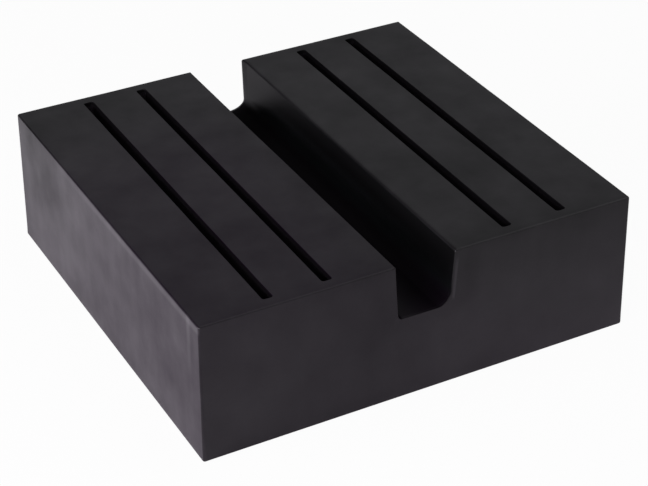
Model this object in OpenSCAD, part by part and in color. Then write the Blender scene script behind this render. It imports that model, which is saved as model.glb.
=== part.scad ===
// Rubber pad for a car lift: one moulded block with a groove for the sill seam
// and four narrow slits that let the top face give a little under load.
// The origin is the middle of the base. The groove runs along Y, +Z is up.

/* [Block] */
// Width of the block's base, across the groove
block_w = 157; // [130:1:200]
// Length of the block's base, along the groove
block_l = 152; // [100:1:200]
// Height of the block
block_h = 50; // [36:1:90]
// Moulding draft: how far each side leans in from the base to the top
side_draft = 0.6; // [0:0.1:1]
// Radius of the four upright corners at the base
corner_r = 1.6; // [1.3:0.1:6]
// Radius of the edges round the top and round the base
edge_r = 1; // [0.4:0.1:3]

/* [Groove] */
// Width of the groove at the top face
groove_w = 21.4; // [16:0.2:32]
// Depth of the groove below the top face
groove_depth = 19.2; // [10:0.2:28]
// Lean of each groove wall towards the floor, in degrees
groove_lean = 3.5; // [0:0.5:6]
// Radius of the groove's floor corner on the left
left_floor_r = 1.2; // [0.4:0.1:4]
// Radius of the groove's floor corner on the right
right_floor_r = 3.8; // [0.4:0.1:5]
// Radius of the two lips where the groove meets the top face
lip_r = 0.8; // [0.3:0.1:2]

/* [Slits] */
// Width of each slit
slit_w = 3.5; // [2:0.1:4]
// Depth of each slit below the top face
slit_depth = 10; // [5:0.5:25]
// Radius of the slits' end corners
slit_corner_r = 0.8; // [0.2:0.1:0.9]
// Strip of rubber between the groove and each inner slit
inner_strip_w = 20.4; // [14:0.2:26]
// Strip of rubber between the two slits of a pair
middle_strip_w = 16.8; // [8:0.1:22]
// Rubber left between each slit's end and the end of the base
slit_end_gap = 5; // [3:0.5:20]

/* [Hidden] */
$fn = 64;

// Overrun of each cutting shape past the faces that it opens
overrun = 1;
// Rounding arcs are drawn larger by this, so that they cross the flats cleanly
arc_cross = 0.0005;
side_lean = atan(side_draft / block_h);
inner_slit_x = groove_w / 2 + inner_strip_w + slit_w / 2;
outer_slit_x = inner_slit_x + slit_w + middle_strip_w;
slit_l = block_l - 2 * slit_end_gap;

// What rounding with radius r takes off the sharp corner of an outline. The corner
// is at the origin, a level edge runs from it to the left, and the other edge runs
// down and leans out to the right by the angle lean.
module corner_waste(r, lean) {
    arc_middle = [-r * (1 - sin(lean)) / cos(lean), -r];
    difference() {
        polygon([
            arc_middle,
            [arc_middle.x, overrun],
            [overrun, overrun],
            arc_middle + (r + overrun) * [cos(lean), sin(lean)],
        ]);
        translate(arc_middle)
            circle(r + arc_cross);
    }
}

// Right half of the block's outline, seen level from a side
module half_outline(base_w) {
    base_x = base_w / 2;
    top_x = base_x - side_draft;
    difference() {
        polygon([[0, 0], [base_x, 0], [top_x, block_h], [0, block_h]]);
        translate([base_x, 0])
            mirror([0, 1])
                corner_waste(edge_r, -side_lean);
        translate([top_x, block_h])
            corner_waste(edge_r, side_lean);
    }
}

module outline(base_w) {
    half_outline(base_w);
    mirror([1, 0])
        half_outline(base_w);
}

// All that lies inside the four upright corners, whose arcs narrow with the draft
module inside_corners() {
    arc_x = block_w / 2 - corner_r;
    arc_y = block_l / 2 - corner_r;
    translate([-arc_x, -block_l / 2 - overrun, 0])
        cube([2 * arc_x, block_l + 2 * overrun, block_h]);
    translate([-block_w / 2 - overrun, -arc_y, 0])
        cube([block_w + 2 * overrun, 2 * arc_y, block_h]);
    for (side_x = [-1, 1], side_y = [-1, 1])
        translate([side_x * arc_x, side_y * arc_y, 0])
            cylinder(block_h, corner_r + arc_cross, corner_r - side_draft + arc_cross);
}

// The outer block: its front, its side and its corners cut one another
module block() {
    intersection() {
        inside_corners();
        rotate([90, 0, 0])
            linear_extrude(block_l + 2 * overrun, center = true)
                outline(block_w);
        rotate([90, 0, 90])
            linear_extrude(block_w + 2 * overrun, center = true)
                outline(block_l);
    }
}

// Right half of the groove's section, with x at 0 in the groove's middle
module half_groove(floor_r) {
    top_x = groove_w / 2;
    floor_x = top_x - groove_depth * tan(groove_lean);
    floor_y = block_h - groove_depth;
    difference() {
        polygon([
            [0, floor_y],
            [floor_x, floor_y],
            [top_x, block_h],
            [top_x, block_h + overrun],
            [0, block_h + overrun],
        ]);
        translate([floor_x, floor_y])
            mirror([0, 1])
                corner_waste(floor_r, groove_lean);
    }
    translate([top_x, block_h])
        mirror([1, 0])
            corner_waste(lip_r, groove_lean);
}

module groove() {
    rotate([90, 0, 0])
        linear_extrude(block_l + 2 * overrun, center = true) {
            half_groove(right_floor_r);
            mirror([1, 0])
                half_groove(left_floor_r);
        }
}

// One slit, closed at both ends
module slit() {
    arc_x = slit_w / 2 - slit_corner_r;
    arc_y = slit_l / 2 - slit_corner_r;
    translate([0, 0, block_h - slit_depth])
        linear_extrude(slit_depth + overrun) {
            square([2 * arc_x, slit_l], center = true);
            square([slit_w, 2 * arc_y], center = true);
            for (side_x = [-1, 1], side_y = [-1, 1])
                translate([side_x * arc_x, side_y * arc_y])
                    circle(slit_corner_r);
        }
}

module lift_pad() {
    color([0.16, 0.16, 0.165])
        difference() {
            block();
            groove();
            for (side = [-1, 1], slit_x = [inner_slit_x, outer_slit_x])
                translate([side * slit_x, 0, 0])
                    slit();
        }
}

lift_pad();
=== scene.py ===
# The rubber pad of a car lift, on a pale table in soft studio light.
from math import cos, pi, radians, sin, tan

import bmesh
import bpy
from mathutils import Matrix, Vector


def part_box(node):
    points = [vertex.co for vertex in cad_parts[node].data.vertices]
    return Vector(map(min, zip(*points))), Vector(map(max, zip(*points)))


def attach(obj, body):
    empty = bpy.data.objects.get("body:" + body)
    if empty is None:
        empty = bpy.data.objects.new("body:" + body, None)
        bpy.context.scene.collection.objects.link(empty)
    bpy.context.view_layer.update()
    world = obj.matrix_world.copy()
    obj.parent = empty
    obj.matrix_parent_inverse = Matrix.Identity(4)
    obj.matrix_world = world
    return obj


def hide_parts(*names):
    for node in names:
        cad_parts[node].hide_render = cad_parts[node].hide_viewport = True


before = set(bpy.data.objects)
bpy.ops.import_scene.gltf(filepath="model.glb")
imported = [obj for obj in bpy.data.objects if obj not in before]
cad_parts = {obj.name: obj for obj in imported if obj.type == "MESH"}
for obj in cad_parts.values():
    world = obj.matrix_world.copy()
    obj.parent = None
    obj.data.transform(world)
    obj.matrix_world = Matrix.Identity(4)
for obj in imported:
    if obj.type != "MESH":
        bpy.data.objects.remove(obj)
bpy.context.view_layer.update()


# Camera
# A long lens, two thirds of a metre away, looks down on the pad's front left corner. Its
# place, turn and focal length bring the pad's edges to where the photo has them.
camera_place = Vector((-0.26024, -0.49623, 0.36865))
camera_azimuth = radians(-28.0779)
camera_elevation = radians(32.3297)
camera_roll = radians(-0.3661)
focal_length = 105.335
film_width = 36

bpy.ops.object.camera_add()
camera = bpy.context.object
camera.name = "camera"
camera.data.lens = focal_length
camera.data.sensor_width = film_width
camera.data.sensor_fit = "HORIZONTAL"
camera.matrix_world = (
    Matrix.Translation(camera_place)
    @ Matrix.Rotation(camera_azimuth, 4, "Z")
    @ Matrix.Rotation(pi / 2 - camera_elevation, 4, "X")
    @ Matrix.Rotation(camera_roll, 4, "Z")
)
bpy.context.scene.camera = camera


# Rubber block
# One solid block of black rubber, moulded in one piece. Its four sides lean in a little
# from the base to the top, so that it lifts out of the mould.
mm = 0.001
near = 0.01 * mm
pad_low, pad_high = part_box("lift_pad")
block_w, block_l, block_h = pad_high - pad_low
side_draft = 0.6 * mm

# A face looks along an axis where its normal has more than this of it
facing = 0.9


def pick_faces(piece, wanted):
    """Selects the faces whose middle and normal pass the test, and nothing else."""
    bpy.ops.mesh.select_all(action="DESELECT")
    mesh = bmesh.from_edit_mesh(piece.data)
    for face in mesh.faces:
        if wanted(face.calc_center_median(), face.normal):
            face.select = True
    bmesh.update_edit_mesh(piece.data)


def pick_edges(piece, wanted):
    """Selects the edges whose two ends and whose faces' normals pass the test."""
    bpy.ops.mesh.select_all(action="DESELECT")
    mesh = bmesh.from_edit_mesh(piece.data)
    for edge in mesh.edges:
        start, end = (corner.co for corner in edge.verts)
        if wanted(start, end, [face.normal for face in edge.link_faces]):
            edge.select = True
    bmesh.update_edit_mesh(piece.data)


def cut_across(axis, place):
    """Cuts the whole mesh in edit mode along the plane at this place on this axis."""
    point = Vector((0, 0, 0))
    point[axis] = place
    normal = Vector((0, 0, 0))
    normal[axis] = 1
    bpy.ops.mesh.select_all(action="SELECT")
    bpy.ops.mesh.bisect(plane_co=point, plane_no=normal)


bpy.ops.object.select_all(action="DESELECT")
bpy.ops.mesh.primitive_cube_add(
    size=1, location=(0, 0, block_h / 2), scale=(block_w, block_l, block_h)
)
pad = bpy.context.object
pad.name = "rubber_pad"
pad.data.name = "rubber_pad"
bpy.ops.object.transform_apply(location=True, rotation=True, scale=True)
bpy.ops.object.mode_set(mode="EDIT")
bpy.context.tool_settings.mesh_select_mode = (False, True, True)
pick_faces(pad, lambda middle, normal: normal.z > facing)
bpy.ops.transform.resize(
    value=(1 - 2 * side_draft / block_w, 1 - 2 * side_draft / block_l, 1),
    center_override=(0, 0, block_h),
)


# Sill groove
# A groove from the front to the back, which the seam under the car's sill drops into.
# It is moulded in. Its left floor corner is much tighter than its right one, and its
# right wall, which leans in at the front, comes out upright at the back.
groove_half = 10.7 * mm
groove_floor = block_h - 19.8 * mm
groove_lean = radians(3.5)
floor_half = groove_half - (block_h - groove_floor) * tan(groove_lean)
front_floor_right = 9.1 * mm
back_floor_right = 10.8 * mm
left_floor_r = 1.8 * mm
right_floor_r = 5 * mm
X, Y, Z = 0, 1, 2


def in_groove(point):
    """Whether a point lies in the groove or on its outline."""
    return abs(point.x) < back_floor_right + near and point.z > groove_floor - near


def on_floor(point):
    """Whether a point lies on the groove's floor or on the floor's outline."""
    return in_groove(point) and point.z < groove_floor + near


cut_across(X, -groove_half)
cut_across(X, groove_half)
cut_across(Z, groove_floor)
pick_faces(pad, lambda middle, normal: abs(middle.x) < groove_half and middle.z > groove_floor)
bpy.ops.mesh.delete(type="FACE")
pick_edges(
    pad,
    lambda start, end, normals: len(normals) == 1 and abs(start.y - end.y) < block_l / 2,
)
bpy.ops.mesh.bridge_edge_loops()
pick_edges(pad, lambda start, end, normals: on_floor(start) and on_floor(end))
bpy.ops.transform.resize(value=(floor_half / groove_half, 1, 1), center_override=(0, 0, 0))
for side, floor_right in ((-1, front_floor_right), (1, back_floor_right)):
    pick_edges(
        pad,
        lambda start, end, normals: on_floor(start)
        and on_floor(end)
        and min(side * start.y, side * end.y) > 0,
    )
    bpy.ops.transform.resize(
        value=((floor_right + floor_half) / (2 * floor_half), 1, 1),
        center_override=(-floor_half, 0, 0),
    )
for side, floor_r in ((-1, left_floor_r), (1, right_floor_r)):
    pick_edges(
        pad,
        lambda start, end, normals: on_floor(start)
        and on_floor(end)
        and side * start.x > 0
        and abs(start.y - end.y) > block_l / 2,
    )
    bpy.ops.mesh.bevel(
        offset=floor_r * tan(pi / 4 - groove_lean / 2), segments=8, clamp_overlap=False
    )


# Slits
# Four narrow slits, two on each side of the groove, closed at both ends. They let the
# top of the rubber give a little under load.
slit_w = 3.5 * mm
slit_depth = 10 * mm
slit_corner_r = 0.8 * mm
slit_middles = (-52.6 * mm, -32.3 * mm, 32.85 * mm, 53.5 * mm)
slit_end_y = block_l / 2 - 5 * mm

for x in slit_middles:
    cut_across(X, x - slit_w / 2)
    cut_across(X, x + slit_w / 2)
cut_across(Y, -slit_end_y)
cut_across(Y, slit_end_y)
pick_faces(
    pad,
    lambda middle, normal: normal.z > facing
    and abs(middle.y) < slit_end_y
    and any(abs(middle.x - x) < slit_w / 2 for x in slit_middles),
)
bpy.ops.mesh.extrude_region_move(TRANSFORM_OT_translate={"value": (0, 0, -slit_depth)})
pick_edges(
    pad,
    lambda start, end, normals: abs(start.z - end.z) > slit_depth / 2
    and abs(abs(start.y) - slit_end_y) < near
    and abs(abs(end.y) - slit_end_y) < near
    and start.z > groove_floor
    and end.z > groove_floor
    and abs(start.x) > groove_half,
)
bpy.ops.mesh.bevel(offset=slit_corner_r, segments=4, clamp_overlap=False)
bpy.ops.mesh.select_all(action="SELECT")
bpy.ops.mesh.remove_doubles(threshold=near)
bpy.ops.mesh.normals_make_consistent(inside=False)
bpy.ops.object.mode_set(mode="OBJECT")


# Rounded edges
# Where two faces of the mould meet, the rubber comes out a little round. That shows along
# the outside and down the groove's right edges, where it is worn rounder still. The left
# lip of the groove and the rims of the slits are almost sharp.
upright_r = 0.8 * mm
front_right_r = 1.1 * mm
base_edge_r = 0.7 * mm
top_edge_r = 0.7 * mm
left_lip_r = 0.12 * mm
right_lip_r = 0.9 * mm
groove_mouth_r = 0.2 * mm
right_mouth_r = 0.9 * mm
slit_rim_r = 0.15 * mm
top_half_w = block_w / 2 - side_draft
top_half_l = block_l / 2 - side_draft

bpy.ops.object.mode_set(mode="EDIT")
for side_x, side_y, radius in (
    (-1, -1, upright_r),
    (-1, 1, upright_r),
    (1, 1, upright_r),
    (1, -1, front_right_r),
):
    pick_edges(
        pad,
        lambda start, end, normals: abs(start.z - end.z) > block_h / 4
        and min(start.x * side_x, end.x * side_x) > top_half_w - near
        and min(start.y * side_y, end.y * side_y) > top_half_l - near,
    )
    bpy.ops.mesh.bevel(offset=radius, segments=5, clamp_overlap=False)


def on_rim(normals, axis, side):
    """Whether an edge has one face that looks this way along the axis, and one that doesn't."""
    return sum(side * normal[axis] > facing for normal in normals) == 1


def in_slit(point):
    """Whether a point lies in or on the outline of one of the four slits."""
    return abs(point.y) < slit_end_y + near and any(
        abs(point.x - x) < slit_w / 2 + near for x in slit_middles
    )


def on_lip(point):
    """Whether a point lies where a groove wall meets the top."""
    return abs(abs(point.x) - groove_half) < near


def on_right_wall(start, end):
    """Whether an edge runs down the groove's right wall, above the round of its floor."""
    return (
        in_groove(start)
        and in_groove(end)
        and start.x > 0
        and abs(start.z - end.z) > (block_h - groove_floor) / 2
    )


rims = (
    (base_edge_r, lambda a, b, normals: max(a.z, b.z) < near and on_rim(normals, Z, -1)),
    (
        top_edge_r,
        lambda a, b, normals: min(a.z, b.z) > block_h - near
        and on_rim(normals, Z, 1)
        and not (in_slit(a) and in_slit(b))
        and not (on_lip(a) and on_lip(b)),
    ),
    (
        left_lip_r,
        lambda a, b, normals: min(a.z, b.z) > block_h - near and on_lip(a) and on_lip(b),
    ),
    (
        right_lip_r,
        lambda a, b, normals: min(a.z, b.z) > block_h - near
        and on_lip(a)
        and on_lip(b)
        and min(a.x, b.x) > 0,
    ),
    (
        groove_mouth_r,
        lambda a, b, normals: in_groove(a)
        and in_groove(b)
        and (on_rim(normals, Y, -1) or on_rim(normals, Y, 1)),
    ),
    (
        right_mouth_r,
        lambda a, b, normals: on_right_wall(a, b) and on_rim(normals, Y, -1),
    ),
    (
        slit_rim_r,
        lambda a, b, normals: min(a.z, b.z) > block_h - near
        and on_rim(normals, Z, 1)
        and in_slit(a)
        and in_slit(b),
    ),
)
for radius, wanted in rims:
    pick_edges(pad, wanted)
    bpy.ops.transform.edge_bevelweight(value=radius / right_mouth_r)
bpy.ops.object.mode_set(mode="OBJECT")
bpy.ops.object.modifier_add(type="BEVEL")
rounding = pad.modifiers[-1]
rounding.limit_method = "WEIGHT"
rounding.width = right_mouth_r
rounding.segments = 3
rounding.use_clamp_overlap = False
bpy.ops.object.modifier_apply(modifier=rounding.name)

# At its back end the groove is a little deeper, its right floor corner is wider and its
# right lip stands closer to the middle. Each row picks the edges in a box there, and
# stretches them away from or towards a fixed place.
back_end_y = 73 * mm

bpy.ops.object.mode_set(mode="EDIT")
for low_x, high_x, low_z, high_z, scale, fixed in (
    (-11.5 * mm, 11.5 * mm, 29.5 * mm, 36 * mm, (1, 1, 0.8), (0, 0, 26.7 * mm)),
    (5.5 * mm, 11.5 * mm, 28.5 * mm, 34 * mm, (1.4, 1, 1), (back_floor_right, 0, 0)),
    (10 * mm, 12.5 * mm, 46 * mm, 51 * mm, (1.2, 1, 1), (13 * mm, 0, 0)),
):
    pick_edges(
        pad,
        lambda start, end, normals: all(
            low_x < point.x < high_x and low_z < point.z < high_z and point.y > back_end_y
            for point in (start, end)
        ),
    )
    bpy.ops.transform.resize(value=scale, center_override=fixed)
bpy.ops.object.mode_set(mode="OBJECT")


# Uneven faces
# Rubber shrinks unevenly as it cools, so the moulded faces are flat only to a tenth of
# a millimetre or two. The hollows all go inwards from the mould's faces, and the base
# stays flat where the pad stands on it.
cell = 3.5 * mm
hollow_size = 35 * mm
unevenness = 0.16 * mm

bpy.ops.object.mode_set(mode="EDIT")
for axis in (X, Y, Z):
    cells = round((pad_high[axis] - pad_low[axis]) / cell)
    for step in range(1, cells):
        cut_across(axis, pad_low[axis] + (pad_high[axis] - pad_low[axis]) * step / cells)
bpy.ops.mesh.select_all(action="SELECT")
bpy.ops.mesh.dissolve_degenerate(threshold=near)
bpy.ops.object.mode_set(mode="OBJECT")

bpy.ops.object.modifier_add(type="DISPLACE")
warp = pad.modifiers[-1]
warp.texture = bpy.data.textures.new("mould_warp", "CLOUDS")
warp.texture.noise_scale = hollow_size
warp.strength = unevenness
warp.mid_level = 1
lifted = pad.vertex_groups.new(name="off_the_base")
lifted.add([v.index for v in pad.data.vertices if v.co.z > base_edge_r], 1, "REPLACE")
warp.vertex_group = lifted.name
bpy.ops.object.modifier_apply(modifier=warp.name)
bpy.ops.object.shade_smooth_by_angle(angle=radians(50))
bpy.ops.object.modifier_add(type="WEIGHTED_NORMAL")
pad.modifiers[-1].keep_sharp = True
bpy.ops.object.modifier_apply(modifier=pad.modifiers[-1].name)


# Black rubber
# Natural rubber filled with soot, which is why it is black right through. It comes from the
# mould satin. A thin bloom of wax and dust dulls its outer faces in uneven patches and lies
# evenly deep in the slits. The groove is painted darker as shade, with painted light low in it.
class Wire:
    """One output of a node. Sums and products of wires add their Math nodes."""

    def __init__(self, tree, socket=None):
        self.tree = tree
        self.socket = socket

    def add(self, kind, inputs, output=0, **settings):
        """Adds a node: its settings first, then the value or the wire of each input."""
        node = self.tree.nodes.new("ShaderNode" + kind)
        for name, value in settings.items():
            setattr(node, name, value)
        for name, value in inputs.items():
            if isinstance(value, Wire):
                self.tree.links.new(value.socket, node.inputs[name])
            else:
                node.inputs[name].default_value = value
        return Wire(self.tree, node.outputs[output] if node.outputs else None)

    def maths(self, operation, other=0):
        return self.add("Math", {0: self, 1: other}, operation=operation)

    def __add__(self, other):
        return self.maths("ADD", other)

    def __sub__(self, other):
        return self.maths("SUBTRACT", other)

    def __rsub__(self, other):
        return self.add("Math", {0: other, 1: self}, operation="SUBTRACT")

    def __mul__(self, other):
        return self.maths("MULTIPLY", other)

    def __abs__(self):
        return self.maths("ABSOLUTE")

    __radd__ = __add__
    __rmul__ = __mul__

    def rise(self, low, high):
        """Goes smoothly from 0 where the wire is low to 1 where it is high."""
        return self.add(
            "MapRange",
            {"Value": self, "From Min": low, "From Max": high},
            interpolation_type="SMOOTHSTEP",
        )

    def noise(self, size, detail, stretch=(1, 1, 1)):
        """Clouds of about this size, longer along an axis where the stretch is more."""
        place = self.add("Mapping", {"Vector": self, "Scale": [1 / (size * s) for s in stretch]})
        return self.add("TexNoise", {"Vector": place, "Scale": 1.0, "Detail": detail})


bare_black_and_groove_shade = (0.0025, 0.0025, 0.0026, 1)
violet_black = (0.0042, 0, 0.0053, 1)
bloom_and_painted_light_black = (0.024, 0.0205, 0.0245, 1)
painted_groove_light_black = (0.042, 0.048, 0.05, 1)

rubber = bpy.data.materials.new("satin_black_rubber")
rubber.use_nodes = True
rubber.node_tree.nodes.clear()
start = Wire(rubber.node_tree)
place = start.add("TexCoord", {}, output="Object")
across, along, up = (start.add("SeparateXYZ", {0: place}, output=axis) for axis in (X, Y, Z))

# Only the groove and the slits lie deeper than this inside the outer faces
skin = 1.3 * mm
soft = 0.4 * mm
from_top = block_h - up
under_top = from_top.rise(0.1 * mm, 0.9 * mm)
inside = (
    (block_w / 2 - abs(across)).rise(skin, skin + soft)
    * (block_l / 2 - abs(along)).rise(skin, skin + soft)
    * up.rise(skin, skin + soft)
    * under_top
)

# Within the skin at its two ends the groove is found by its section, one side at a time
in_mouth = under_top
for side, floor_x, floor_r, spill in (
    (-1, floor_half, left_floor_r, 0.2 * mm),
    (1, front_floor_right, right_floor_r, 0.7 * mm),
):
    lean = (up - groove_floor) * ((groove_half - floor_x) / (block_h - groove_floor))
    beyond = (side * across - lean - (floor_x - floor_r)).maths("MAXIMUM", 0)
    below = (groove_floor + floor_r - up).maths("MAXIMUM", 0)
    reach = (beyond * beyond + below * below).maths("POWER", 0.5)
    in_mouth = in_mouth * (1 - reach.rise(floor_r, floor_r + spill))
right_lean = lean
recess = inside.maths("MAXIMUM", in_mouth)
in_slits = inside * abs(across).rise(groove_half + right_lip_r, 30 * mm)
in_slits = in_slits * from_top.rise(0.8 * mm, 2.4 * mm)

# Bloom: broad clouds, small patches, and streaks down the sides, which slid along the
# mould. Painted light makes the sides paler towards their foot, least at the front left
# corner, and lifts the groove low down, less towards both ends and least at the front right.
clouds = place.noise(40 * mm, 2) - 0.5
patches = place.noise(13 * mm, 5) - 0.5
streaks = place.noise(6 * mm, 2, stretch=(1, 1, 8)) - 0.5
grain = place.noise(1.1 * mm, 2) - 0.5
from_front = along + block_l / 2
in_sill_groove = recess * (1 - abs(across).rise(groove_half, groove_half + right_lip_r))
# Painted light low in the groove, less towards both ends and least at the front right.
painted_groove_light = from_top.rise(6 * mm, 18 * mm) * (0.2 + 0.8 * from_front.rise(5 * mm, 70 * mm))
painted_groove_light = (0.02 + 0.85 * painted_groove_light) * in_sill_groove * (1 - 0.5 * along.rise(35 * mm, 60 * mm))
front_right = across.rise(2 * mm, 9 * mm) * (1 - from_front.rise(5 * mm, 20 * mm))
painted_groove_light = painted_groove_light * (1 - 0.5 * front_right)
far = ((across + along) * (1 / (block_w + block_l)) + 0.5).rise(0.03, 0.75)
low = 1 - up * (1 / block_h)
edge_depth = 0.6 * mm
left_face = block_w / 2 - side_draft - edge_depth
front_face = block_l / 2 - side_draft - edge_depth
on_left = (0 - across).rise(left_face, left_face + 0.3 * mm)
on_front = (0 - along).rise(front_face, front_face + 0.3 * mm)
on_top = 1 - from_top.rise(0.3 * mm, 0.8 * mm)
# Painted light: paler towards the foot and away from the front left corner, most on the left
# side.
painted_foot_light = far * low * (1.15 + 1.1 * on_left)

# A painted highlight lies on the left side under its top edge, stronger towards the front.
# The side has a pale line by the front corner, a darker strip in front of it, is smeared
# aslant from its top to its foot, and is paler at the front corner's foot. A painted highlight
# runs down the groove's front right edge, and the top's front edge is painted a little pale.
pale_line_offset = 8.2 * mm
smear_line = 52 * mm
edge_width = 1.3 * mm
# Painted highlight under the left side's top edge.
painted_edge_highlight = from_top.rise(0.6 * mm, 1.2 * mm) * (1 - from_top.rise(2 * mm, 3.6 * mm))
painted_edge_highlight = painted_edge_highlight * (0 - along).rise(-55 * mm, 10 * mm)
# A pale line on the left side, 8.2 mm behind the front corner, with a darker strip in front of
# it.
pale_line = 1 - abs(from_front - pale_line_offset).rise(0.4 * mm, 1.8 * mm)
pale_line = pale_line * up.rise(24 * mm, 46 * mm)
corner = 1 - from_front.rise(5.5 * mm, 7.5 * mm)
smear = 1 - abs(along + up - smear_line).rise(5 * mm, 28 * mm)
foot = (1 - up.rise(4 * mm, 26 * mm)) * (1 - from_front.rise(20 * mm, 48 * mm))
# Painted highlight down the groove's front right edge.
painted_mouth_highlight = (
    (1 - from_front.rise(0.5 * mm, 1.2 * mm))
    * (1 - abs(across - right_lean - front_floor_right - edge_width).rise(0.2 * mm, 0.7 * mm))
    * up.rise(31 * mm, 33 * mm)
    * from_top.rise(2 * mm, 6 * mm)
)
# Painted light along the top's front edge, filling its dark reflection.
painted_front_edge_light = (0 - along).rise(front_face - 0.3 * mm, front_face + 0.1 * mm)
painted_front_edge_light = painted_front_edge_light * (1 - from_top.rise(0.5 * mm, 0.9 * mm))
marks_and_painted_highlights = on_left * (painted_edge_highlight + 0.9 * pale_line - 0.25 * corner + 0.5 * smear + 0.6 * foot)
marks_and_painted_highlights = marks_and_painted_highlights + 0.8 * painted_mouth_highlight + 0.2 * painted_front_edge_light

mottle = (clouds + patches + 0.3 * streaks) * (1 - 0.4 * on_front + 0.9 * on_left)
# The front face is painted a little darker as shade.
bloom_and_painted_light = 0.195 + 0.38 * mottle + 0.2 * grain + 0.93 * painted_foot_light + 0.37 * marks_and_painted_highlights - 0.07 * on_front
# In the groove the bloom is left out, so it shows the bare black as painted shade.
bloom_and_painted_light = (bloom_and_painted_light * (1 - recess) + in_slits + painted_groove_light).maths("MAXIMUM", 0)

# The rubber is a shade more violet towards the front left, less so on the front face and
# the groove's floor, and not at all on the groove's walls and in the slits. The painted light
# on the groove's walls is paler and cooler than the bloom elsewhere.
violet = (1.6 * from_top - across).rise(-10 * mm, 30 * mm)
violet = violet * (1 - along.rise(10 * mm, 70 * mm)) * (1 - 0.65 * on_front)
violet = violet * (1 - recess * (0.65 + 0.35 * up.rise(33 * mm, 37 * mm)))
colour = start.add(
    "Mix", {0: violet, 6: bare_black_and_groove_shade, 7: violet_black}, output=2, data_type="RGBA"
)
bloom_and_groove_light_colour = start.add(
    "Mix",
    {0: in_sill_groove * up.rise(31 * mm, 37 * mm), 6: bloom_and_painted_light_black, 7: painted_groove_light_black},
    output=2,
    data_type="RGBA",
)
colour = start.add("Mix", {0: bloom_and_painted_light, 6: colour, 7: bloom_and_groove_light_colour}, output=2, data_type="RGBA")

# Outside, the wax has been rubbed to a faint shine, least high on the front face and at
# the back of the top. The groove gets duller towards its back.
roughness = 0.3 + 0.06 * clouds + 0.04 * patches
roughness = roughness + 0.12 * in_sill_groove * along.rise(0, 40 * mm)
polish = 0.29 + 0.5 * mottle + 0.35 * marks_and_painted_highlights - 0.22 * on_front * (1 - low)
polish = polish - 0.11 * on_top * along.rise(20 * mm, 75 * mm)
polish = (polish * (1 - recess)).maths("MAXIMUM", 0)
relief = start.add("Bump", {"Strength": 0.12, "Distance": 0.1 * mm, "Height": grain})
satin = start.add(
    "BsdfPrincipled",
    {
        "Base Color": colour,
        "Roughness": roughness,
        "IOR": 1.38,
        "Coat Weight": polish,
        "Coat Roughness": 0.3,
        "Normal": relief,
    },
)

# The round of the groove's floor comes out of the mould quite matt, most on the right. The
# matt part starts lower at the back end, where the wall still shines.
matt = start.add(
    "BsdfPrincipled", {"Base Color": colour, "Roughness": 1.0, "Specular IOR Level": 0.0}
)
below_top = from_top - 6 * mm * along.rise(50 * mm, 76 * mm)
in_round = in_sill_groove * below_top.rise(9 * mm, 14 * mm)
in_round = in_round * (0.45 + 0.49 * across.rise(0, 5.5 * mm))
shader = start.add("MixShader", {0: in_round, 1: satin, 2: matt})
start.add("OutputMaterial", {"Surface": shader})
pad.data.materials.clear()
pad.data.materials.append(rubber)

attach(pad, "root")
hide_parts("lift_pad")


# Table
# A wide table top, painted pale, which the pad stands on. To the camera it is white, with
# the pad's soft shadow on it.
bpy.ops.object.select_all(action="DESELECT")
bpy.ops.mesh.primitive_plane_add(size=12)
table = bpy.context.object
table.name = "table_top"
top_paint = bpy.data.materials.new("white_table")
top_paint.use_nodes = True
top_paint.node_tree.nodes.clear()
start = Wire(top_paint.node_tree)
seen = start.add("LightPath", {}, output="Is Camera Ray")
paint = start.add("BsdfDiffuse", {"Color": (0.88, 0.88, 0.88, 1)})
white = start.add("Emission", {"Color": (1, 1, 1, 1), "Strength": 1})
shader = start.add("MixShader", {0: seen * 0.96, 1: paint, 2: white})
start.add("OutputMaterial", {"Surface": shader})
table.data.materials.append(top_paint)


# Studio light
# Three soft lamps stand low in a row round the front left. Weak fills come from the front
# right and from above, and a pale board at the back right gives the top its sheen.
world = bpy.data.worlds.new("studio")
bpy.context.scene.world = world
world.use_nodes = True
world.node_tree.nodes.clear()
start = Wire(world.node_tree)
seen = start.add("LightPath", {}, output="Is Camera Ray")
glow = start.add("Background", {"Color": (1, 1, 1, 1), "Strength": 0.04})
white = start.add("Background", {"Color": (1, 1, 1, 1), "Strength": 1})
shader = start.add("MixShader", {0: seen, 1: glow, 2: white})
start.add("OutputWorld", {"Surface": shader})

for name, azimuth, elevation, distance, width, height, radiance, tint in (
    ("front_lamp", -150, 17, 0.75, 0.6, 0.36, 3.2, (1, 0.92, 1.04)),
    ("corner_lamp", -110, 17, 0.75, 0.6, 0.36, 5.2, (1, 0.92, 1.04)),
    ("left_lamp", -80, 17, 0.75, 0.3, 0.36, 6.6, (1, 0.95, 1.02)),
    ("right_fill", 140, 28, 1.0, 0.9, 0.7, 0.5, (1, 1, 1.03)),
    ("top_fill", 95, 62, 1.0, 0.9, 0.9, 0.7, (1, 1, 1.03)),
    ("pale_board", 16, 29, 1.0, 1.15, 0.72, 0.22, (1, 0.99, 1.05)),
):
    azimuth, elevation = radians(azimuth), radians(elevation)
    floor_reach = cos(elevation) * distance
    spot = Vector(
        (sin(azimuth) * floor_reach, cos(azimuth) * floor_reach, sin(elevation) * distance)
    )
    aim = (-spot).to_track_quat("-Z", "Y")
    bpy.ops.object.light_add(type="AREA")
    lamp = bpy.context.object
    lamp.name = name
    lamp.data.shape = "RECTANGLE"
    lamp.data.size = width
    lamp.data.size_y = height
    lamp.data.energy = radiance * pi * width * height
    lamp.data.color = tint
    lamp.matrix_world = Matrix.Translation(spot) @ aim.to_matrix().to_4x4()

bpy.context.scene.view_settings.view_transform = "Standard"
